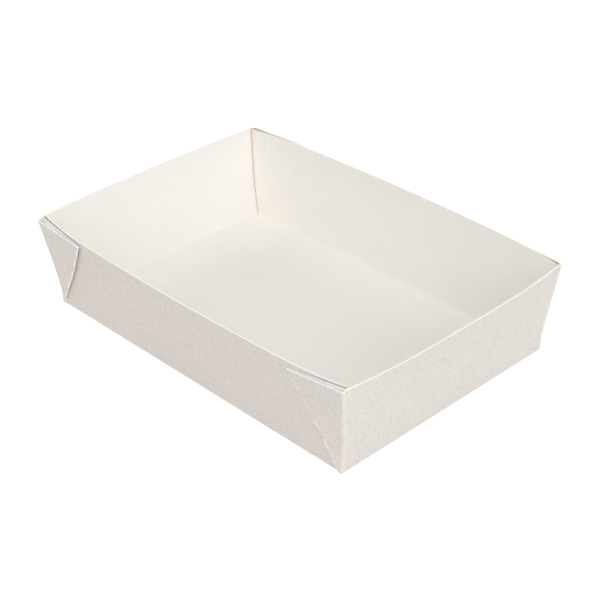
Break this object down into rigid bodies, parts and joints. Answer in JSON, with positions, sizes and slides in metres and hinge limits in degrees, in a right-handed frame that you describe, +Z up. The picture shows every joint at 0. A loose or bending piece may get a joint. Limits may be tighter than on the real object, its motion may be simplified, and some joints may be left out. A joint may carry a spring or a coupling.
{
  "type": "open-top folded paperboard tray",
  "caption": "Open-top white paperboard tray folded from one sheet, with flared walls and web corners folded back along perforated diagonals and glued outside the long walls",
  "frame": {"origin": "Middle of the underside of the base, level with the surface that the tray stands on", "axes": "+X along the tray's length to the right end wall, +Y across its width to the back long wall, +Z up through the open top"},
  "size_m": [0.2682, 0.184, 0.0605],
  "materials": {
    "paperboard": "matte, uncoated outside and smooth coated inside"
  },
  "bodies": {
    "root": {"tray": "paperboard"}
  },
  "joints": []
}
